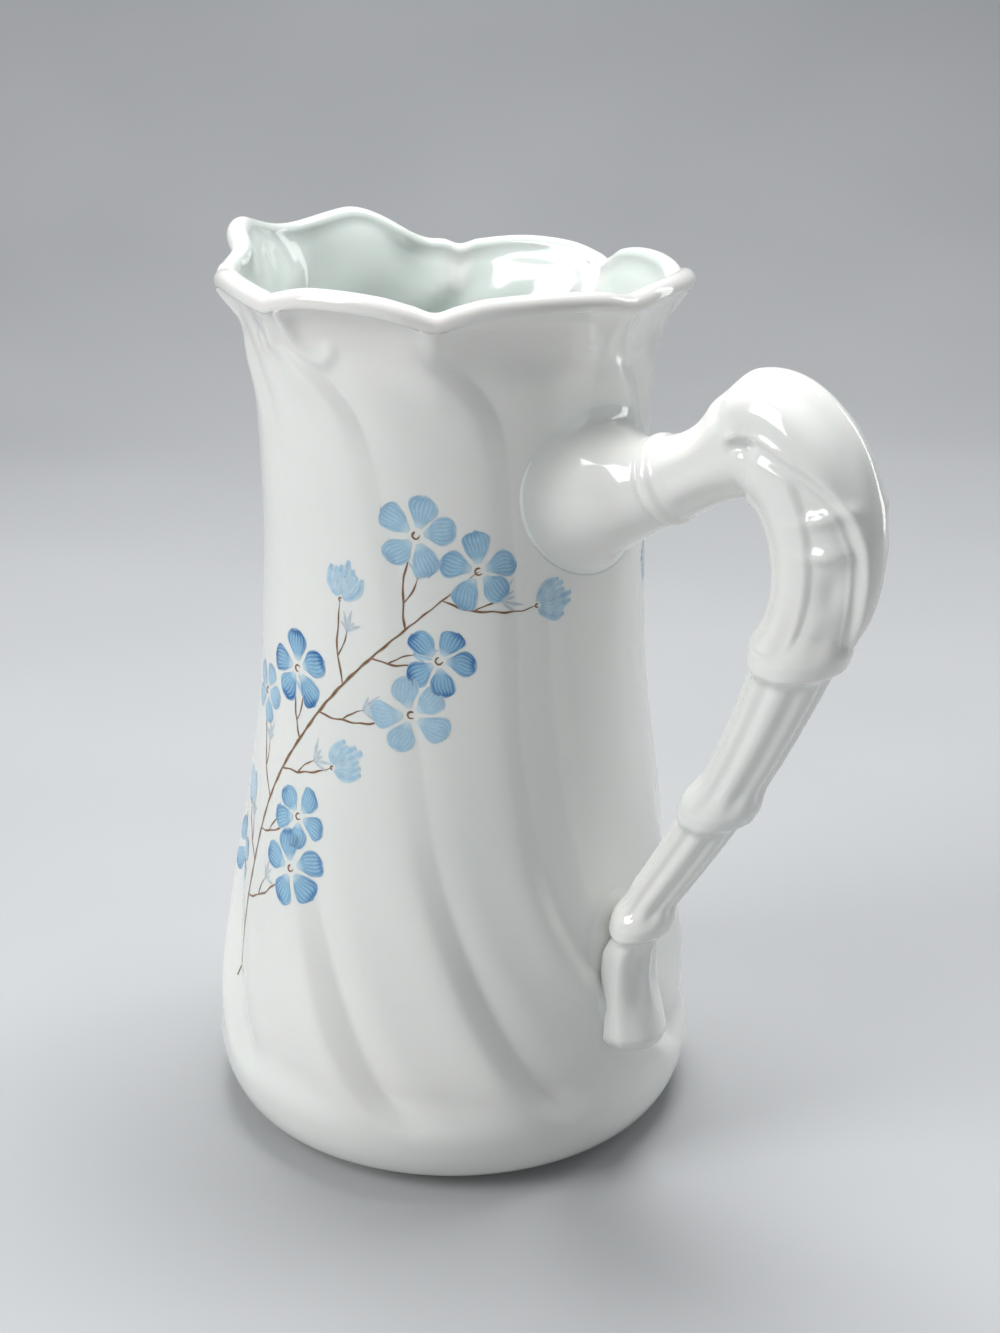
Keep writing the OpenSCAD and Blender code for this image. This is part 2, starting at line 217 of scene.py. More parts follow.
def relief(a, z):
    """Moulded detail under the rim: hollows, tongues at the dips and C-shaped scrolls."""
    down = RIM_H - z
    place, _ = flute_place(a, z)
    across = np.sin(np.pi * np.clip(place, 0, 1)) ** 0.7
    # the face swells out to meet the rolled edge, then sinks into a hollow
    swell = 0.2 * (1 - smooth((down - 2.2) / 2.8))
    hollow = -1.35 * across * smooth((down - 2.0) / 2.2) * (1 - smooth((down - 4.2) / 9.0))
    hollow = hollow * (1 - 0.6 * smooth((40 - from_spout(a)) / 15))
    total = hollow + swell
    for dip in V_DIPS:
        off = wrapped(a - dip)
        total = total + 0.9 * bump(off, 5.0) * smooth(down / 2) * (1 - smooth((down - 3.5) / 5))
    for joint, height in SCROLL_JOINTS:
        side = np.radians(wrapped(a - joint)) * 31.0
        near = np.abs(side) < 14
        ridge = np.zeros_like(total)
        if near.any():
            for line_side in (1, -1):
                share = height if line_side > 0 else height * 0.45
                line = line_ridge(side * line_side, down, SCROLL_LINE, SCROLL_WIDTH)
                ridge = np.maximum(ridge, share * SCROLL_HIGH * line)
        total = total + np.where(near, ridge, 0) * smooth((down - 0.2) / 1.2)
    return total


def plain_r(a, z):
    return outline_r(z) + flute(a, z) + rim_bulge(a, z)


def lifted(a, z):
    return z + rim_lift(a) * smooth((z - LIFT_FROM) / (RIM_H - LIFT_FROM))


def outer_r(a, z):
    return plain_r(a, z) + relief(a, z)


def face_point(a, z, off=0.0):
    """Point off the body's outer face; a in degrees, z the plain height."""
    a, z = np.broadcast_arrays(np.asarray(a, float), np.asarray(z, float))
    r = outer_r(a, z) + off
    t = np.radians(a)
    return np.stack([r * np.cos(t), r * np.sin(t), lifted(a, z)], axis=-1)


# ---- mesh making ----


def mesh_object(name, points, faces, material):
    """A smooth-shaded object from points in millimetres."""
    mesh = bpy.data.meshes.new(name)
    mesh.from_pydata((np.asarray(points) * MM).tolist(), [], faces)
    mesh.update()
    mesh.shade_smooth()
    mesh.materials.append(material)
    obj = bpy.data.objects.new(name, mesh)
    bpy.context.scene.collection.objects.link(obj)
    return obj


def ring_faces(rings, sides, start=0, closed=True):
    """Quads between rings of points; the last side meets the first when closed."""
    i = np.arange(rings - 1)[:, None] * sides + start
    j = np.arange(sides if closed else sides - 1)[None, :]
    k = (j + 1) % sides
    quads = np.stack([i + j, i + k, i + sides + k, i + sides + j], axis=-1)
    return quads.reshape(-1, 4).tolist()


def skin(name, rings, material, shut=(True, True)):
    """A closed skin over rings of points (rings, sides, 3)."""
    count, sides = rings.shape[:2]
    points = rings.reshape(-1, 3)
    faces = ring_faces(count, sides)
    if shut[0]:
        points = np.vstack([points, rings[0].mean(axis=0)])
        end = len(points) - 1
        faces += [[end, (j + 1) % sides, j] for j in range(sides)]
    if shut[1]:
        points = np.vstack([points, rings[-1].mean(axis=0)])
        end = len(points) - 1
        last = (count - 1) * sides
        faces += [[end, last + j, last + (j + 1) % sides] for j in range(sides)]
    return mesh_object(name, points, faces, material)


# ---- materials ----


def new_material(name):
    material = bpy.data.materials.new(name)
    material.use_nodes = True
    nodes, links = material.node_tree.nodes, material.node_tree.links
    shader = nodes["Principled BSDF"]
    return material, nodes, links, shader


def object_coordinates(nodes):
    return nodes.new("ShaderNodeTexCoord").outputs["Object"]


def noise(nodes, links, where, scale, detail=3.0, rough=0.5):
    node = nodes.new("ShaderNodeTexNoise")
    node.inputs["Scale"].default_value = scale
    node.inputs["Detail"].default_value = detail
    node.inputs["Roughness"].default_value = rough
    links.new(where, node.inputs["Vector"])
    return node.outputs["Fac"]


def ramp(nodes, links, value, stops):
    node = nodes.new("ShaderNodeValToRGB")
    elements = node.color_ramp.elements
    for i, (place, colour) in enumerate(stops):
        element = elements[i] if i < 2 else elements.new(place)
        element.position = place
        element.color = (*colour, 1.0)
    links.new(value, node.inputs["Fac"])
    return node.outputs["Color"]


def mix_colour(nodes, links, share, first, second, how="MIX"):
    node = nodes.new("ShaderNodeMix")
    node.data_type = "RGBA"
    node.blend_type = how
    for socket, value in ((node.inputs[0], share), (node.inputs[6], first), (node.inputs[7], second)):
        if isinstance(value, bpy.types.NodeSocket):
            links.new(value, socket)
        else:
            socket.default_value = value if isinstance(value, float) else (*value, 1.0)
    return node.outputs[2]


def scaled(nodes, links, value, low, high):
    node = nodes.new("ShaderNodeMapRange")
    node.inputs["To Min"].default_value = low
    node.inputs["To Max"].default_value = high
    links.new(value, node.inputs["Value"])
    return node.outputs["Result"]


def ripple(nodes, links, shader, height, strength, distance):
    node = nodes.new("ShaderNodeBump")
    node.inputs["Strength"].default_value = strength
    node.inputs["Distance"].default_value = distance
    links.new(height, node.inputs["Height"])
    links.new(node.outputs["Normal"], shader.inputs["Normal"])


def glaze_material(name, warm=0.0):
    """White porcelain under clear glaze: faint cloudy tint, kiln specks, a slight ripple, and an
    inner face painted darker and greener, partly glaze tint and partly painted shade.
    """
    material, nodes, links, shader = new_material(name)
    where = object_coordinates(nodes)
    cloud = noise(nodes, links, where, 28.0, 3.0)
    white = ramp(nodes, links, cloud, [
        (0.3, (0.765, 0.785, 0.755)), (0.72, (0.835 + warm, 0.835, 0.80))])
    speck = nodes.new("ShaderNodeTexVoronoi")
    speck.inputs["Scale"].default_value = 58.0
    links.new(where, speck.inputs["Vector"])
    near = ramp(nodes, links, speck.outputs["Distance"], [(0.012, (1, 1, 1)), (0.022, (0, 0, 0))])
    few = ramp(nodes, links, noise(nodes, links, where, 36.0, 0.0), [
        (0.62, (0, 0, 0)), (0.64, (1, 1, 1))])
    spots = mix_colour(nodes, links, 1.0, near, few, "MULTIPLY")
    # painted shade: the inner face is mixed towards a darker, greener white; the green is a glaze
    # tint, the darkening is painted shade inside the jug
    inside = nodes.new("ShaderNodeAttribute")
    inside.attribute_name = "inside"
    inner_tint_and_shade = mix_colour(nodes, links, inside.outputs["Fac"], white, (0.66, 0.72, 0.685))
    colour = mix_colour(nodes, links, spots, inner_tint_and_shade, (0.22, 0.17, 0.12))
    links.new(colour, shader.inputs["Base Color"])
    worn = noise(nodes, links, where, 210.0, 4.0, 0.65)
    links.new(scaled(nodes, links, worn, 0.05, 0.13), shader.inputs["Roughness"])
    shader.inputs["IOR"].default_value = 1.52
    shader.inputs["Subsurface Weight"].default_value = 0.12
    shader.inputs["Subsurface Scale"].default_value = 0.002
    shader.inputs["Coat Weight"].default_value = 0.25
    shader.inputs["Coat Roughness"].default_value = 0.03
    ripple(nodes, links, shader, noise(nodes, links, where, 420.0, 2.0), 0.06, 0.0002)
    return material


def biscuit_material():
    """Unglazed, ground porcelain: matte, slightly stained where it has stood."""
    material, nodes, links, shader = new_material("biscuit_porcelain")
    where = object_coordinates(nodes)
    stain = noise(nodes, links, where, 90.0, 5.0, 0.6)
    colour = ramp(nodes, links, stain, [
        (0.3, (0.52, 0.47, 0.40)), (0.5, (0.74, 0.71, 0.65)), (0.75, (0.80, 0.78, 0.73))])
    links.new(colour, shader.inputs["Base Color"])
    links.new(scaled(nodes, links, stain, 0.9, 0.6), shader.inputs["Roughness"])
    grit = noise(nodes, links, where, 1800.0, 2.0)
    ripple(nodes, links, shader, grit, 0.35, 0.0001)
    return material


def enamel_material():
    """Fired enamel colours, carried by the piece's own paint attribute."""
    material, nodes, links, shader = new_material("fired_enamel")
    paint = nodes.new("ShaderNodeAttribute")
    paint.attribute_name = "paint"
    where = object_coordinates(nodes)
    grain = noise(nodes, links, where, 900.0, 4.0, 0.7)
    light = ramp(nodes, links, grain, [(0.3, (0.82, 0.82, 0.82)), (0.7, (1.12, 1.12, 1.12))])
    colour = mix_colour(nodes, links, 0.55, paint.outputs["Color"], light, "MULTIPLY")
    links.new(colour, shader.inputs["Base Color"])
    links.new(scaled(nodes, links, grain, 0.12, 0.24), shader.inputs["Roughness"])
    shader.inputs["IOR"].default_value = 1.5
    return material


GLAZE = glaze_material("glazed_porcelain_body")
GLAZE_HANDLE = glaze_material("glazed_porcelain_handle", 0.004)
BISCUIT = biscuit_material()
ENAMEL = enamel_material()

# ---- body ----

COLUMNS = 720
# The rolled edge: its radius, how much plumper it is on the humps, and how far it is
# drawn in from the wall's face
BEAD_R, BEAD_ON_HUMPS, BEAD_IN = 1.55, 0.4, 0.6
# Radius where the wall rounds into the floor, and how far the underside's plain
# middle stops short of the foot ring's outside
FLOOR_ROUND = 12.0
UNDERSIDE_IN = 4.0
# How much of a flute's depth shows on the inner face low down
INNER_FLUTE = 0.35
ANGLES = np.arange(COLUMNS) * 360.0 / COLUMNS


def body_rings():
    a = ANGLES
    t = np.radians(a)
    circle = np.stack([np.cos(t), np.sin(t)], axis=-1)

    def ring(r, z):
        return np.concatenate([circle * np.broadcast_to(r, a.shape)[:, None],
                               np.broadcast_to(z, a.shape)[:, None]], axis=1)

    rings = []
    # underside, slightly domed inside the foot ring
    inner_foot = FOOT_R - UNDERSIDE_IN
    for share in np.linspace(0.02, 1, 14):
        rings.append(ring(inner_foot * share, FOOT_H + 0.5 * (1 - share**4)))
    for share in np.linspace(0.15, 1, 8):
        edge = outer_r(a, np.full(a.shape, FOOT_H))
        rings.append(ring(inner_foot + (edge - 0.5 - inner_foot) * share, FOOT_H))
    # outer face
    low = FOOT_H + (np.linspace(0, 1, 30)) ** 1.4 * 15.0 + 0.15
    middle = np.linspace(low[-1], LIFT_FROM, 96)[1:]
    top = np.linspace(LIFT_FROM, RIM_H - 2.4, 74)[1:]
    for z in np.concatenate([low, middle, top]):
        zz = np.full(a.shape, z)
        rings.append(ring(outer_r(a, zz), lifted(a, zz)))
    # rolled edge
    curl = hump(a)
    bead = BEAD_R + BEAD_ON_HUMPS * curl
    lip_top = np.full(a.shape, RIM_H)
    centre_r = plain_r(a, lip_top) - WALL - BEAD_IN + bead
    centre_z = lifted(a, lip_top) - bead
    start = -38.0 - 70.0 * curl
    for share in np.linspace(0, 1, 22):
        turn = np.radians(start + (178.0 - start) * share)
        rings.append(ring(centre_r + bead * np.cos(turn), centre_z + bead * np.sin(turn)))
    # inner face, floor
    inside = [RIM_H - 2.6 - d for d in (0, 0.8, 1.8, 3, 4.5, 6.2, 8, 10, 12.5, 15, 18, 21.5)]
    inside += list(np.linspace(RIM_H - 27, FLOOR_TOP + FLOOR_ROUND, 56))
    for z in inside:
        zz = np.full(a.shape, z)
        shape = plain_r(a, zz) + 0.3 * relief(a, zz)
        deep = INNER_FLUTE * flute(a, zz) * smooth((60 - zz) / 40)
        rings.append(ring(shape - WALL - deep, lifted(a, zz)))
    corner_z = np.full(a.shape, FLOOR_TOP + FLOOR_ROUND)
    corner_r = plain_r(a, corner_z) - WALL - INNER_FLUTE * flute(a, corner_z)
    for turn in np.radians(np.linspace(6, 90, 14)):
        r = corner_r - FLOOR_ROUND * (1 - math.cos(turn))
        rings.append(ring(r, FLOOR_TOP + FLOOR_ROUND - FLOOR_ROUND * math.sin(turn)))
    for share in np.linspace(0.9, 0.02, 14):
        rings.append(ring((corner_r - FLOOR_ROUND) * share, FLOOR_TOP - 0.3 * (1 - share**2)))
    return np.array(rings)


def make_body():
    rings = body_rings()
    body = skin("jug_body", rings, GLAZE)
    # glaze pools a little thicker, and greener, on the inner face; the whole inner face is also
    # painted darker, as painted shade inside the jug
    r = np.hypot(rings[..., 0], rings[..., 1])
    a = np.degrees(np.arctan2(rings[..., 1], rings[..., 0]))
    gap = plain_r(a, np.clip(rings[..., 2], FOOT_H, RIM_H)) - r
    share = smooth((gap - 1.6) / 1.0) * (rings[..., 2] > FLOOR_TOP - 1)
    tint = body.data.attributes.new("inside", "FLOAT", "POINT")
    tint.data.foreach_set("value", np.concatenate([share.ravel(), [0.0, 1.0]]))
    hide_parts("body")
    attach(body, "root")


# ---- handle ----

# The middle line runs by place from 0 in the boss to 24 near the tip, as the packed
# handle's does: an arm, an elliptical crook, a slightly bowed cane and a lobe
ARM_TO, CROOK_TO, CANE_TO, LAST_PLACE = 6.0, 11.25, 19.0, 24.0
ARM_OUT, ARM_OVER, ARM_TURN = 2.5, 0.9, 12.0
CROOK_OUT, CROOK_DOWN, CROOK_W, CROOK_H = 25.8, 3.5, 9.2, 14.0
CROOK_FROM, CROOK_END = 114.0, -29.0
CANE_BOW, CANE_SHARE = 1.8, 0.34
LOBE_OUT, LOBE_LEAD, LOBE_CLOSE, LOBE_OVER = 0.6, 8.0, 2.5, 3.3
# Place, half depth, half width; the boss spreads below place 0
HANDLE_SIZE = [
    (-1.6, 12.0, 12.0), (-1, 10.4, 10.3), (0, 8.6, 8.6), (1.5, 6.4, 6.3), (3, 5.5, 5.3),
    (5, 5.4, 5.4), (7, 8.2, 6.0), (8, 8.1, 6.2), (10, 6.9, 5.7), (12, 5.3, 5.0),
    (15, 4.2, 4.2), (19, 3.4, 3.5), (22, 3.1, 3.9), (23, 3.5, 4.2), (24, 4.1, 4.7)]
CUFFS = [12.15, 16.5, 20.5]
COLLAR_OUT = 1.0
CUFF_DIP = 0.26
SIDES = 176
# Edge of the raised leaf over the bend, in degrees from the handle's back
LEAF_EDGE = [(6.3, 88), (7.2, 82), (8, 76), (8.6, 60), (9.2, 40), (9.8, 26), (10.6, 18),
             (11.3, 8), (11.7, 0)]


def crook_centre(turn):
    turn = math.radians(turn)
    return np.array([float(outline_r(BOSS_H)) + CROOK_OUT + CROOK_W * math.cos(turn),
                     BOSS_H - CROOK_DOWN + CROOK_H * math.sin(turn)])


def arm_centre(share):
    start = np.array([float(outline_r(BOSS_H)) + ARM_OUT, BOSS_H + ARM_OVER])
    end = crook_centre(CROOK_FROM)
    turn = math.radians(CROOK_FROM)
    lead = np.array([CROOK_W * math.sin(turn), -CROOK_H * math.cos(turn)])
    bend = end - lead / np.linalg.norm(lead) * ARM_TURN
    return start * (1 - share) ** 2 + bend * 2 * share * (1 - share) + end * share**2


def lobe_centre(share):
    top = TIP_H + CANE_SHARE * (BOSS_H - TIP_H)
    z = top * (1 - share) + (TIP_H + LOBE_OVER) * share
    out = LOBE_OUT + LOBE_LEAD * max(1 - share, 0.0) ** LOBE_CLOSE
    return np.array([float(outline_r(z)) + out, z])


def cane_centre(share):
    bow = np.array([CANE_BOW * math.sin(share * math.pi), 0.0])
    return crook_centre(CROOK_END) * (1 - share) + lobe_centre(0.0) * share + bow


def handle_centre(t):
    if t < ARM_TO:
        return arm_centre(t / ARM_TO)
    if t < CROOK_TO:
        share = (t - ARM_TO) / (CROOK_TO - ARM_TO)
        return crook_centre(CROOK_FROM + (CROOK_END - CROOK_FROM) * share)
    if t < CANE_TO:
        return cane_centre((t - CROOK_TO) / (CANE_TO - CROOK_TO))
    return lobe_centre((t - CANE_TO) / (LAST_PLACE - CANE_TO))


def cuff(t, place, turn):
    """One joint of the cane: it widens slowly to a rounded bead, then steps in.

    The joint dips lower on the handle's two sides than on its back and front.
    """
    u = t - place - CUFF_DIP * np.sin(np.radians(turn)) ** 2
    before = smooth((u + 1.15) / 0.95) ** 1.6
    after = 1 - smooth((u - 0.04) / 0.36)
    return before * after


def handle_relief(t, turn):
    """Ribs, cuffs and the moulded leaf of the handle; turn is degrees from its back."""
    off = np.abs(wrapped(turn))
    ribbed = 0.2 + 0.22 * smooth((t - 11.5) / 1.0)
    ribbed = ribbed * smooth((t - 3.2) / 0.5) * smooth((20.3 - t) / 0.4)
    ribbed = ribbed * (1 - 0.85 * smooth((t - 6) / 0.8) * smooth((11.4 - t) / 0.8))
    cuffs = sum(cuff(t, place, turn) for place in CUFFS)
    wave = 0.5 - 0.5 * np.cos(np.radians(turn + 22.5) * 8)
    height = -ribbed * (1 - 0.85 * cuffs) * wave**1.4 + COLLAR_OUT * cuffs
    # the first collar: a low band with firm edges
    height = height + 0.42 * smooth((t - 2.4) / 0.2) * smooth((3.1 - t) / 0.3)
    height = height - 0.22 * bump(t - 2.35, 0.12)
    # leaf over the bend
    if 6.0 < t < 12.0:
        edge = float(curve(LEAF_EDGE, t))
        grow = smooth((t - 6.2) / 0.5) * smooth((11.8 - t) / 0.3)
        height = height + 0.85 * grow * smooth((edge - off) / 7)
        height = height - 0.45 * grow * bump(off - edge - 4, 4.5)
        ribs = 0.28 * grow * smooth((9.4 - t) / 1.0)
        height = height + ribs * np.cos(np.radians(off) * 7.5) * smooth((edge - off) / 12)
        # channel beside the leaf, with its two knuckles and the hollow under them
        channel = smooth((off - edge - 4) / 10) * smooth((84 - off) / 10)
        height = height - 0.55 * channel * smooth((t - 8.2) / 0.5) * smooth((11.9 - t) / 0.6)
        for place in (9.2, 9.78):
            height = height + 0.95 * bump(off - 56, 24) * bump(t - place, 0.13)
        height = height - 0.6 * bump(off - 50, 17) * bump(t - 10.35, 0.35)
        height = height - 0.9 * bump(off - 84, 9) * bump(t - 7.05, 0.28)
        # inner tube of the bend
        height = height + 0.3 * bump(off - 108, 16) * smooth((t - 7.2) / 0.6)
        height = height - 0.3 * bump(off - 132, 7) * smooth((t - 6.6) / 0.6) * smooth((11.6 - t) / 1)
    # lower lobe: a ridge along its side, a hollow down its middle and a round end
    if t > 20.6:
        grow = smooth((t - 20.8) / 0.8)
        height = height - 0.8 * grow * bump(off - 30, 26) * smooth((23.6 - t) / 1.2)
        height = height + 0.4 * grow * bump(off - 78, 18)
        # the edge spreads where it meets the jug
        height = height + 1.3 * grow * bump(off - 122, 24)
    return height


def seated(points, sink=0.0, soft=0.5):
    """Keeps points off the body's face, easing them onto it over a short distance."""
    x, y, z = points[..., 0], points[..., 1], points[..., 2]
    a = np.degrees(np.arctan2(y, x))
    face = outer_r(a, np.minimum(z, RIM_H)) + sink
    r = np.hypot(x, y)
    over = (r - face) / soft
    eased = face + soft * (np.log1p(np.exp(-np.abs(over))) + np.maximum(over, 0))
    scale = eased / np.maximum(r, 1e-6)
    return np.stack([x * scale, y * scale, z], axis=-1)


def handle_ring(t, scale=1.0):
    turn = -np.arange(SIDES) * 360.0 / SIDES
    here = handle_centre(t)
    square = handle_centre(t + 0.04) - handle_centre(t - 0.04)
    if t > LAST_PLACE - 0.05:
        square = handle_centre(LAST_PLACE) - handle_centre(LAST_PLACE - 0.3)
    square = square / np.linalg.norm(square)
    along = np.array([square[0] * (1 - 0.8 * smooth((t - 10.5) / 1.2)), square[1]])
    along = along / np.linalg.norm(along)
    slant = 1.0 / float(square @ along)
    across = np.array([-along[1], along[0]])
    grow = handle_relief(t, turn)
    depth = (curve(HANDLE_SIZE, t, 1) * slant + grow) * np.cos(np.radians(turn)) * scale
    width = (curve(HANDLE_SIZE, t, 2) + grow) * np.sin(np.radians(turn)) * scale
    out = here[0] + across[0] * depth
    # the boss's rings are bent round the body
    bent = float(smooth((1.4 - t) / 1.4))
    turned = width / out * bent
    points = np.stack([out * np.cos(turned), width * (1 - bent) + out * np.sin(turned),
                       here[1] + across[1] * depth], axis=-1)
    return points


def make_handle():
    fine = np.concatenate([
        np.linspace(-1.6, 1.4, 26), np.linspace(1.45, 2.6, 26), np.linspace(2.7, 6.2, 36),
        np.linspace(6.27, 12.0, 120), np.linspace(12.03, 12.7, 22), np.linspace(12.8, 15.4, 30),
        np.linspace(15.45, 16.8, 34), np.linspace(16.9, 19.5, 30), np.linspace(19.55, 21, 34),
        np.linspace(21.1, 24, 40)])
    rings = []
    for t in fine:
        soft = 0.4 + 0.7 * float(smooth((1 - t) / 2)) + 0.25 * float(smooth((t - 20.8) / 1.2))
        sink = -0.12 * float(smooth((-0.4 - t) / 1.2))
        rings.append(seated(handle_ring(t), sink, soft))
    end = handle_centre(LAST_PLACE)[1]
    for share in np.linspace(0.06, 1, 16):
        low = math.sin(share * math.pi / 2)
        ring = handle_ring(LAST_PLACE, max(math.cos(share * math.pi / 2), 0.02))
        ring[:, 2] = end + (ring[:, 2] - end) * 0.4 - (end - TIP_H) * low
        rings.append(seated(ring, 0.0, 0.5))
    handle = skin("jug_handle", np.array(rings), GLAZE_HANDLE)
    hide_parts("handle")
    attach(handle, "root")


def make_slip(name, node, middle_h, half_w, half_h, thick):
    """Slip under a handle end: a thin pad that feathers out over the body's face."""
    turn = np.radians(-np.arange(120) * 3.0)
    rings = []
    for share in np.linspace(0.02, 1, 12):
        side = half_w * share * np.sin(turn)
        z = middle_h + half_h * share * np.cos(turn)
        a = np.degrees(side / outline_r(z))
        rings.append(face_point(a, z, (thick + 0.04) * (1 - share**2.4) - 0.04))
    pad = skin(name, np.array(rings)[::-1], GLAZE_HANDLE, (False, True))
    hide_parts(node)
    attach(pad, "root")


def make_foot():
    """Ground ring: flat where it stands, softly rounded, with a slightly uneven width."""
    t = np.radians(ANGLES[::2])
    outer, width = FOOT_R - 0.3, 3.0
    section = [(-width - 0.6, FOOT_H), (-width, 0.35), (-width + 0.12, 0.1), (-width + 0.35, 0.0),
               (-0.55, 0.0), (-0.28, 0.07), (-0.1, 0.25), (0.0, 0.5), (0.28, FOOT_H)]
    wave = 0.05 * np.sin(5 * t + 0.6) + 0.03 * np.sin(11 * t)
    rings = []
    for out, z in section:
        r = outer + out + wave * (1 if out > -1 else -1)
        rings.append(np.stack([r * np.cos(t), r * np.sin(t), np.full(t.shape, z)], axis=-1))
    rings = np.array(rings)
    points = rings.reshape(-1, 3)
    count, sides = rings.shape[:2]
    faces = ring_faces(count, sides)
    last = (count - 1) * sides
    faces += [[last + j, last + (j + 1) % sides, (j + 1) % sides, j] for j in range(sides)]
    foot = mesh_object("foot_ring_ground", points, faces, BISCUIT)
    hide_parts("foot_ring")
    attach(foot, "root")


make_body()
make_handle()
make_slip("slip_under_boss", "upper_slip", BOSS_H, 13.4, 13.6, 0.07)
make_slip("slip_under_lobe", "lower_slip", (TIP_H + 41.0) / 2, 6.6, (41.0 - TIP_H) / 2 + 1.0, 0.85)
make_foot()

# ---- enamel decoration ----

# The front of the jug's face lies this many degrees from the handle.  Places in the
# painting are (degrees right of the front, height in millimetres).
FRONT = -47.0
# Thickness of the enamel over the glaze
ENAMEL_UP = 0.035

BLUE_DARK = np.array([0.012, 0.125, 0.36])
BLUE_LIGHT = np.array([0.30, 0.54, 0.71])
BLUE_PALE = np.array([0.60, 0.73, 0.79])
BROWN = np.array([0.15, 0.075, 0.035])
BROWN_LIGHT = np.array([0.40, 0.25, 0.15])
GREY = np.array([0.50, 0.53, 0.56])


def blend(first, second, share):
    share = np.clip(np.asarray(share, float), 0, 1)[..., None]
    return first * (1 - share) + second * share


def on_face(place, x, y):
    """Point of the painting x right and y up, in millimetres, from a place on the face."""
    z = place[1] + y
    a = FRONT + place[0] + np.degrees(x / outline_r(z))
    return face_point(a, z, ENAMEL_UP)


class Painting:
    """Gathers strokes and petals into one piece."""

    def __init__(self):
        self.points, self.faces, self.colours, self.count = [], [], [], 0

    def add_grid(self, points, colours):
        rows, columns = points.shape[:2]
        i = np.arange(rows - 1)[:, None] * columns + self.count
        j = np.arange(columns - 1)[None, :]
        quads = np.stack([i + j, i + j + 1, i + columns + j + 1, i + columns + j], axis=-1)
        flat = points.reshape(-1, 3)
        middle = flat.mean(axis=0)
        across = np.cross(points[0, -1] - points[0, 0], points[-1, 0] - points[0, 0])
        if across @ np.array([middle[0], middle[1], 0]) < 0:
            quads = quads[..., ::-1]
        self.points.append(flat)
        self.faces += quads.reshape(-1, 4).tolist()
        self.colours.append(colours.reshape(-1, 3))
        self.count += rows * columns

    def stroke(self, route, width, colour, edge, taper=(0.4, 0.15), waver=0.0):
        """A brush stroke along places on the face; it thins to taper's shares at its ends."""
        table = np.array(route, float)
        lengths = np.hypot(np.diff(table[:, 0]) * 0.52, np.diff(table[:, 1]))
        along = np.concatenate([[0], np.cumsum(lengths)])
        steps = np.linspace(0, along[-1], max(int(along[-1] / 0.28), 6))
        phi, z = np.interp(steps, along, table[:, 0]), np.interp(steps, along, table[:, 1])
        for _ in range(2):
            phi[1:-1] = (phi[:-2] + 2 * phi[1:-1] + phi[2:]) / 4
            z[1:-1] = (z[:-2] + 2 * z[1:-1] + z[2:]) / 4
        share = steps / along[-1]
        z = z + waver * np.sin(steps * 2.1 + table[0, 0])
        r = outline_r(z)
        dx = np.gradient(np.radians(phi) * r.mean())
        dz = np.gradient(z)
        size = np.hypot(dx, dz)
        normal = np.stack([-dz / size, dx / size], axis=-1)
        ends = np.minimum(taper[0] + share * 5, taper[1] + (1 - share) * 2.5)
        half = 0.5 * width * np.minimum(ends, 1) * (1 + 0.22 * np.sin(steps * 1.7 + table[0, 1]))
        across = np.array([-1.0, -0.55, 0.0, 0.55, 1.0])
        x = np.outer(half, across) * normal[:, :1]
        y = np.outer(half, across) * normal[:, 1:]
        zz = z[:, None] + y
        a = FRONT + phi[:, None] + np.degrees(x / outline_r(zz))
        grain = 0.5 + 0.5 * np.sin(steps * 3.3 + table[-1, 0])[:, None]
        shade = np.abs(across)[None, :] ** 2 * 0.8 + 0.25 * grain
        self.add_grid(face_point(a, zz, ENAMEL_UP * 0.9), blend(colour, edge, shade))

    def petal(self, place, turn, reach, half_w, tone, seed):
        """One petal: pale at its base, streaked and darker towards its rounded edge."""
        s = np.linspace(0, 1, 30)[:, None]
        t = np.linspace(-1, 1, 31)[None, :]
        start = 0.2 * reach
        width = half_w * curve(PETAL, s) * (1 + 0.05 * np.sin(9 * s + seed))
        lobes = 0.025 * np.cos(3 * t + seed)
        far = start + (reach - start) * s * (1 + lobes * s**4)
        sway = 0.10 * reach * math.sin(seed * 2.3) * s**2
        side = width * t + sway
        c, d = math.cos(math.radians(turn)), math.sin(math.radians(turn))
        x, y = far * c - side * d, far * d + side * c
        rim = np.maximum(np.abs(t) ** 3, smooth((s - 0.7) / 0.3))
        one_side = 0.5 + 0.5 * np.tanh(2.5 * (t * math.cos(seed * 1.7) + 0.25))
        shade = smooth(0.1 + 0.5 * rim + 0.55 * one_side * s)
        lines = (0.5 + 0.5 * np.sin(21 * t + 2.5 * np.sin(5 * s + seed) + seed)) ** 3
        lines = lines * smooth((s - 0.2) / 0.2) * (1 - 0.5 * rim)
        stitch = (0.5 + 0.5 * np.sin(46 * t * s + 9 * s)) * rim
        depth = tone * (0.15 + 1.15 * shade - 0.75 * lines - 0.25 * stitch)
        start_colour = blend(BLUE_PALE, BLUE_LIGHT, (0.5 + tone) * (1 - 0.35 * lines))
        colour = blend(start_colour, BLUE_DARK, depth)
        colour = blend(colour, BLUE_PALE, 0.8 * (1 - smooth(s / 0.3)) * np.ones_like(t))
        halo = np.maximum(smooth((np.abs(t) - 0.86) / 0.14), smooth((s - 0.93) / 0.07))
        self.add_grid(on_face(place, x, y), blend(colour, BLUE_PALE, 0.6 * halo))

    def finish(self, name):
        obj = mesh_object(name, np.vstack(self.points), self.faces, ENAMEL)
        paint = obj.data.color_attributes.new("paint", "FLOAT_COLOR", "POINT")
        colours = np.clip(np.vstack(self.colours), 0, 1)
        flat = np.concatenate([colours, np.ones((len(colours), 1))], axis=1).ravel()
        paint.data.foreach_set("color", flat)
        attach(obj, "root")


# Half width of a petal along its length
PETAL = [(0, 0.18), (0.15, 0.42), (0.4, 0.84), (0.62, 1), (0.78, 0.95), (0.9, 0.7), (0.97, 0.38),
         (1, 0.04)]

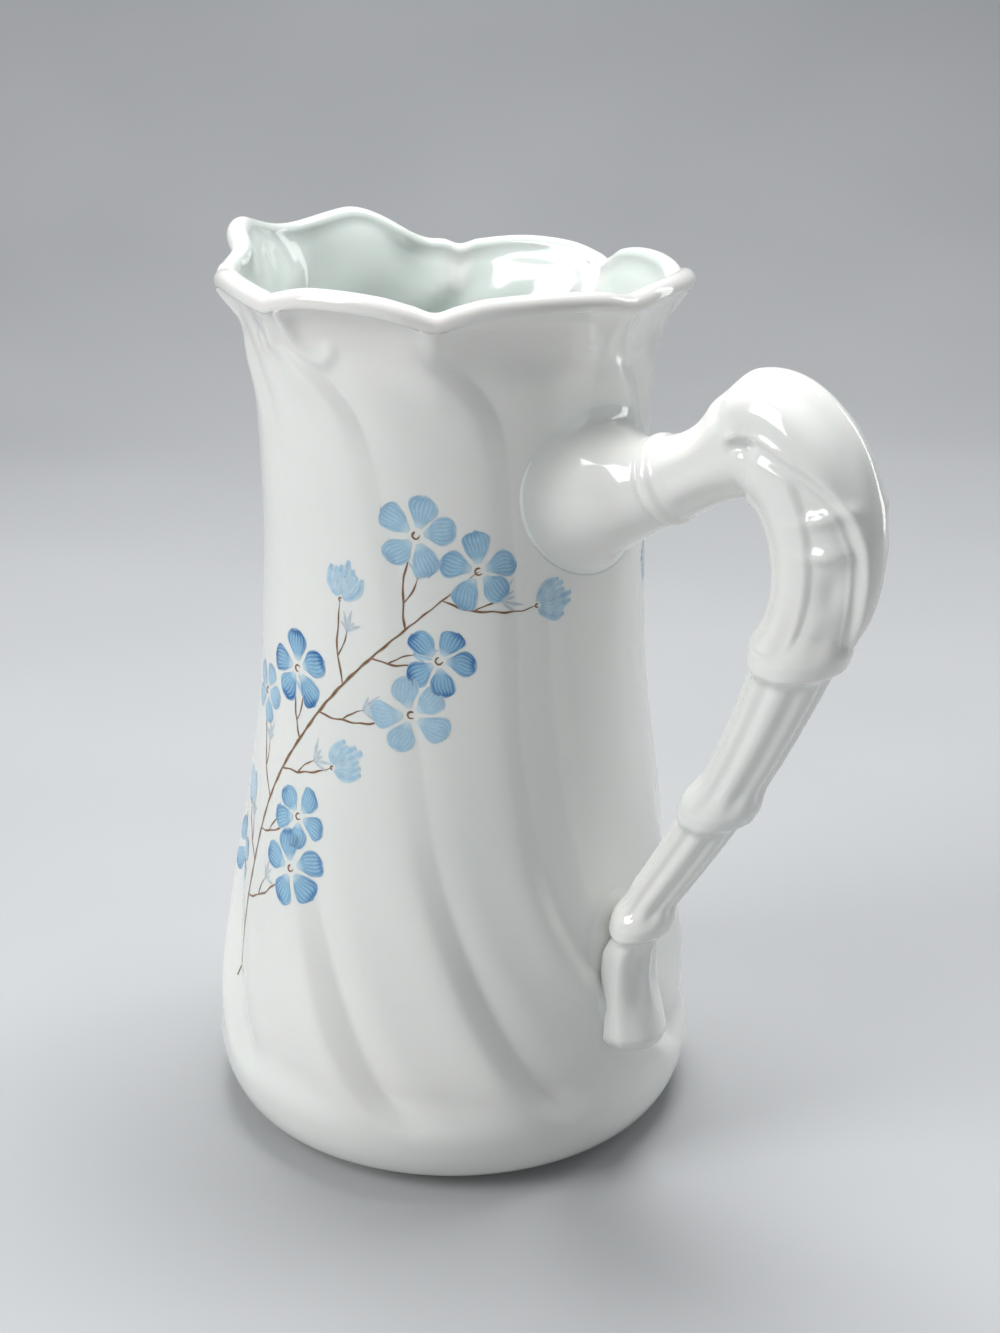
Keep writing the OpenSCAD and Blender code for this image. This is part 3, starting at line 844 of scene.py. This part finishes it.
# A stock flowering spray: a bowed branch, side twigs that leave it to either side in
# turn, and on each twig a blossom or a half-open flower, with a shoot and its leaves.
BRANCH_FOOT, BRANCH_TIP = (-70.0, 22.0), (8.0, 90.0)
BRANCH_BOW = (20.0, 4.0)
BRANCH_WIDTH, TWIG_WIDTH, SHOOT_WIDTH = 0.42, 0.28, 0.22
TWIG_COUNT = 12
TWIG_FIRST, TWIG_LAST = 0.1, 0.93
TWIG_TURN, TWIG_CURL, TWIG_STEPS = 58.0, -30.0, 6
TWIG_LENGTH, TWIG_VARY = 10.5, 3.0
BLOSSOM_REACH = 5.3
PETALS = 5
LEAF_REACH = 3.4


def branch_place(share):
    """Place on the branch, at a share of the way from its foot to its tip."""
    bow = math.sin(math.pi * share)
    return (BRANCH_FOOT[0] + (BRANCH_TIP[0] - BRANCH_FOOT[0]) * share - BRANCH_BOW[0] * bow,
            BRANCH_FOOT[1] + (BRANCH_TIP[1] - BRANCH_FOOT[1]) * share + BRANCH_BOW[1] * bow)


def stepped(place, aim, distance):
    """The place a distance from another, along an angle measured up from the right."""
    z = place[1] + distance * math.sin(math.radians(aim))
    x = distance * math.cos(math.radians(aim))
    return (place[0] + math.degrees(x / float(outline_r(z))), z)


def twig_route(place, aim, length, curl):
    """A twig that sets off at an angle and bends by curl degrees on its way."""
    route = [place]
    for step in range(TWIG_STEPS):
        wiggle = 7 * math.sin(2.4 * step + place[1])
        place = stepped(place, aim + curl * step / TWIG_STEPS + wiggle, length / TWIG_STEPS)
        route.append(place)
    return route


def spray_layout():
    """Works out the spray's twigs, blossoms, half-open flowers and leaf tufts."""
    twigs = [(BRANCH_WIDTH, [branch_place(u) for u in np.linspace(0, 1, 24)])]
    blossoms, fans, tufts = [(BRANCH_TIP, 95, BLOSSOM_REACH, 0.4)], [], []
    for k in range(TWIG_COUNT):
        share = TWIG_FIRST + (TWIG_LAST - TWIG_FIRST) * k / (TWIG_COUNT - 1)
        side = -1 if k % 2 else 1
        start, ahead = branch_place(share), branch_place(share + 0.02)
        x = math.radians(ahead[0] - start[0]) * float(outline_r(start[1]))
        heading = math.degrees(math.atan2(ahead[1] - start[1], x))
        length = TWIG_LENGTH + TWIG_VARY * math.sin(1.9 * k)
        route = twig_route(start, heading + TWIG_TURN * side, length, TWIG_CURL * side)
        twigs.append((TWIG_WIDTH, route))
        shoot = twig_route(route[2], heading + 8 * side, 4.0, 30 * side)
        twigs.append((SHOOT_WIDTH, shoot))
        kind = "grey" if k % 3 else "blue"
        tufts.append((shoot[-1], heading + 30 * side, LEAF_REACH, 5, 100, kind))
        out = heading + (TWIG_TURN + TWIG_CURL) * side
        tone = 0.55 + 0.3 * math.sin(2.3 * k + 1)
        if k % 3 == 2:
            fans.append((route[-1], out, BLOSSOM_REACH, 7, 150, 0.6 * tone))
        else:
            reach = BLOSSOM_REACH + 0.5 * math.sin(1.3 * k)
            blossoms.append((stepped(route[-1], out, 0.4 * reach), 90 + 13 * k, reach, tone))
    return twigs, blossoms, fans, tufts


def fan(painting, place, aim, reach, strokes, spread, tone, seed):
    """Curved petal strokes that open out from one point."""
    for k in range(strokes):
        share = k / (strokes - 1) - 0.5
        turn = math.radians(aim + spread * share)
        length = reach * (1 - 0.35 * abs(share) + 0.08 * math.sin(seed + 2 * k))
        bend = math.radians(-85 * share)
        route = []
        for step in np.linspace(0.12, 1, 7):
            heading = turn + bend * step
            z = place[1] + length * step * math.sin(heading)
            x = length * step * math.cos(heading)
            route.append((place[0] + math.degrees(x / float(outline_r(z))), z))
        depth = tone * (0.7 + 0.5 * math.sin(1.7 * k + seed))
        colour = blend(blend(BLUE_PALE, BLUE_LIGHT, 0.75), BLUE_DARK, 0.5 * depth)
        painting.stroke(route, 1.3, colour, BLUE_PALE, (0.2, 0.5))


def tuft(painting, place, aim, reach, strokes, spread, kind, seed):
    for k in range(strokes):
        share = k / (strokes - 1) - 0.5
        turn = math.radians(aim + spread * share)
        length = reach * (0.75 + 0.25 * math.cos(1.9 * k + seed))
        z = place[1] + length * math.sin(turn)
        x = length * math.cos(turn)
        half = (place[0] + math.degrees(x * 0.45 / 30), place[1] + length * 0.55 * math.sin(turn))
        tip = (place[0] + math.degrees(x / float(outline_r(z))), z)
        colour = BLUE_LIGHT if kind == "blue" else GREY
        width = 0.6 if kind == "blue" else 0.42
        painting.stroke([place, half, tip], width, colour, BLUE_PALE, (1.0, 0.1))


def flower_heart(painting, place, size, seed):
    """The small brown curl in the middle of a blossom."""
    route = []
    for turn in np.radians(np.linspace(60, 330, 9) + 40 * math.sin(seed)):
        z = place[1] + size * math.sin(turn)
        route.append((place[0] + math.degrees(size * math.cos(turn) / float(outline_r(z))), z))
    painting.stroke(route, 0.3, BROWN, BROWN_LIGHT, (0.3, 0.3))


def paint_spray(name, turn_round, mirror):
    """One flowering branch; the spray on the far side is the same design turned round."""
    def moved(place):
        return (turn_round + place[0] * mirror, place[1])

    def aimed(angle):
        return angle if mirror > 0 else 180 - angle

    routes, blossoms, fans, tufts = spray_layout()
    twigs = Painting()
    for width, route in routes:
        twigs.stroke([moved(p) for p in route], width, BROWN, BROWN_LIGHT, (0.7, 0.25), 0.05)
    twigs.finish(name + "_twigs")
    sprigs = Painting()
    for k, (place, aim, reach, strokes, spread, kind) in enumerate(tufts):
        tuft(sprigs, moved(place), aimed(aim), reach, strokes, spread, kind, k)
    sprigs.finish(name + "_sprigs")
    for k, (place, aim, reach, tone) in enumerate(blossoms):
        blossom = Painting()
        for petal in range(PETALS):
            seed = 1.3 * k + 2.1 * petal
            turn = aimed(aim) - petal * 360 / PETALS + 5 * math.sin(seed * 5)
            share = tone * (1 + 0.4 * math.sin(seed * 3))
            long = reach * (1 + 0.05 * math.cos(seed * 4))
            half_w = 0.35 * reach
            blossom.petal(moved(place), turn, long, half_w, share, seed)
        flower_heart(blossom, moved(place), 0.55, k)
        blossom.finish("%s_blossom_%d" % (name, k + 1))
    for k, (place, aim, reach, strokes, spread, tone) in enumerate(fans):
        bud = Painting()
        fan(bud, moved(place), aimed(aim), reach, strokes, spread, tone, k)
        flower_heart(bud, moved(place), 0.35, k + 3)
        bud.finish("%s_half_open_%d" % (name, k + 1))



paint_spray("front_spray", 0.0, 1)
paint_spray("far_spray", 112.0, -1)

# ---- floor, light, camera ----


def make_floor():
    """A pale sheet that curves up behind the jug."""
    material, nodes, links, shader = new_material("pale_backdrop")
    tone = noise(nodes, links, object_coordinates(nodes), 6.0, 2.0)
    colour = ramp(nodes, links, tone, [(0.3, (0.42, 0.43, 0.44)), (0.7, (0.46, 0.47, 0.48))])
    links.new(colour, shader.inputs["Base Color"])
    shader.inputs["Roughness"].default_value = 0.6
    back = VIEW_AHEAD
    side = np.array([-back[1], back[0], 0.0])
    profile = [(-1500.0, 0.0), (450.0, 0.0)]
    for turn in np.radians(np.linspace(5, 90, 18)):
        profile.append((450.0 + 450.0 * math.sin(turn), 450.0 * (1 - math.cos(turn))))
    profile.append((900.0, 2200.0))
    rings = []
    for ahead, height in profile:
        rings.append([back * ahead + side * s + np.array([0, 0, height]) for s in (-2500, 2500)])
    points = np.array(rings).reshape(-1, 3)
    faces = ring_faces(len(profile), 2, 0, False)
    floor = mesh_object("backdrop", points, faces, material)


def area_light(name, place, target, size, power, colour=(1, 1, 1)):
    light = bpy.data.lights.new(name, "AREA")
    light.shape = "RECTANGLE"
    light.size, light.size_y = size
    light.energy = power
    light.color = colour
    obj = bpy.data.objects.new(name, light)
    obj.location = Vector(place) * MM
    aim = (Vector(target) - Vector(place)).to_track_quat("-Z", "Y")
    obj.rotation_euler = aim.to_euler()
    bpy.context.scene.collection.objects.link(obj)


# The camera's bearing, height, distance, tilt and roll
VIEW_TURN = -47.0
VIEW_DISTANCE = 256.3
VIEW_HEIGHT = 160.2
VIEW_SIDE = 6.7
VIEW_TILT = 19.95
VIEW_ROLL = 0.51
LENS = 49.96
VIEW_AHEAD = -np.array([math.cos(math.radians(VIEW_TURN)), math.sin(math.radians(VIEW_TURN)), 0.0])
VIEW_RIGHT = np.array([VIEW_AHEAD[1], -VIEW_AHEAD[0], 0.0])


def make_camera():
    data = bpy.data.cameras.new("camera")
    data.lens = LENS
    data.sensor_width = 36.0
    data.clip_start = 0.01
    data.clip_end = 20.0
    camera = bpy.data.objects.new("camera", data)
    tilt, roll = math.radians(VIEW_TILT), math.radians(VIEW_ROLL)
    up = np.array([0.0, 0.0, 1.0])
    forward = VIEW_AHEAD * math.cos(tilt) - up * math.sin(tilt)
    level_up = VIEW_AHEAD * math.sin(tilt) + up * math.cos(tilt)
    right = VIEW_RIGHT * math.cos(roll) + level_up * math.sin(roll)
    top = level_up * math.cos(roll) - VIEW_RIGHT * math.sin(roll)
    place = VIEW_RIGHT * VIEW_SIDE - VIEW_AHEAD * VIEW_DISTANCE + up * VIEW_HEIGHT
    columns = [Vector(right), Vector(top), Vector(-forward), Vector(place * MM)]
    matrix = Matrix.Identity(4)
    for i, column in enumerate(columns):
        for j in range(3):
            matrix[j][i] = column[j]
    camera.matrix_world = matrix
    bpy.context.scene.collection.objects.link(camera)
    bpy.context.scene.camera = camera


def seen_from_camera(right, ahead, up):
    """A place given by how far right, ahead and up it is from the jug, as the camera sees it."""
    return VIEW_RIGHT * right + VIEW_AHEAD * ahead + np.array([0, 0, up])


def make_lights():
    middle = (0, 0, 70)
    area_light("key", seen_from_camera(-560, -260, 470), middle, (0.30, 0.5), 3.6)
    area_light("overhead", seen_from_camera(40, 140, 720), middle, (0.42, 0.26), 5.2)
    area_light("edge", seen_from_camera(560, 260, 240), middle, (0.16, 0.6), 1.0)
    world = bpy.data.worlds.new("soft_room")
    world.use_nodes = True
    back = world.node_tree.nodes["Background"]
    back.inputs["Color"].default_value = (0.93, 0.96, 1.0, 1.0)
    back.inputs["Strength"].default_value = 0.3
    bpy.context.scene.world = world


make_floor()
make_lights()
make_camera()
bpy.context.scene.view_settings.view_transform = "Standard"
